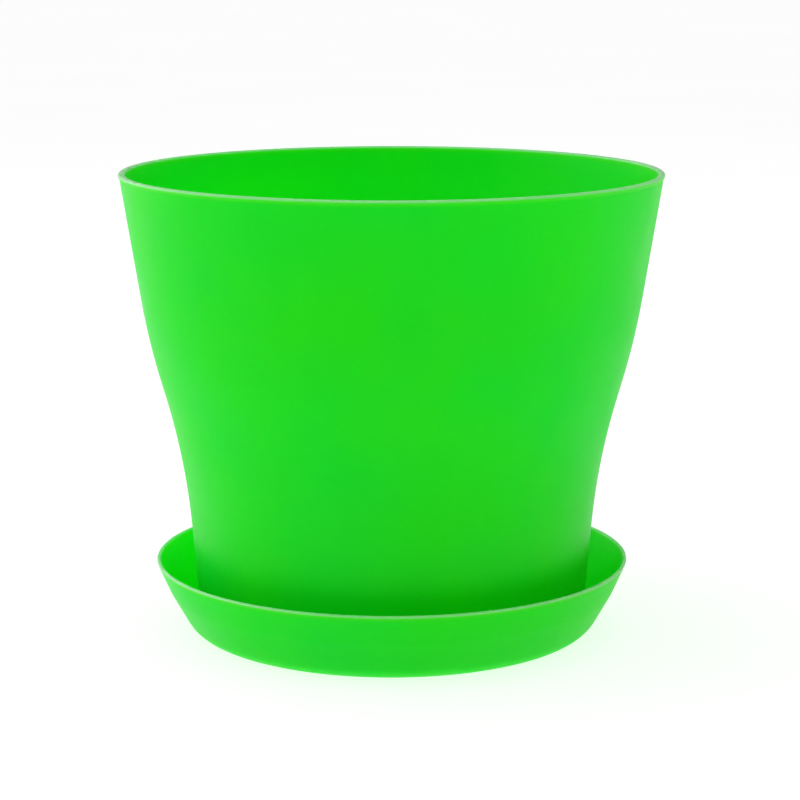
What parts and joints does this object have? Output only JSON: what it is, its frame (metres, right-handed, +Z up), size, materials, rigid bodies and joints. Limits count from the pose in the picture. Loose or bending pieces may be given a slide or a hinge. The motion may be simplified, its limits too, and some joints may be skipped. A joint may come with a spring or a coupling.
{
  "type": "plant pot with saucer",
  "caption": "Round tapered plastic plant pot with a thin beaded rim, drainage holes and a raised floor, standing in a matching flared drip saucer that it lifts out of.",
  "frame": {"origin": "centre of the saucer's foot ring, on the surface that it stands on", "axes": "+Z up along the common axis of pot and saucer; +X along one of the saucer's ribs"},
  "size_m": [0.1896, 0.1896, 0.163],
  "materials": {
    "green_plastic": "satin injection-moulded polypropylene, bright green all through"
  },
  "bodies": {
    "saucer": {"saucer": "green_plastic"},
    "pot": {"pot": "green_plastic"}
  },
  "joints": [
    {"name": "pot_lift", "type": "slide", "parent": "saucer", "child": "pot", "axis": [0, 0, 1], "range_m": [0, 0.06]}
  ]
}
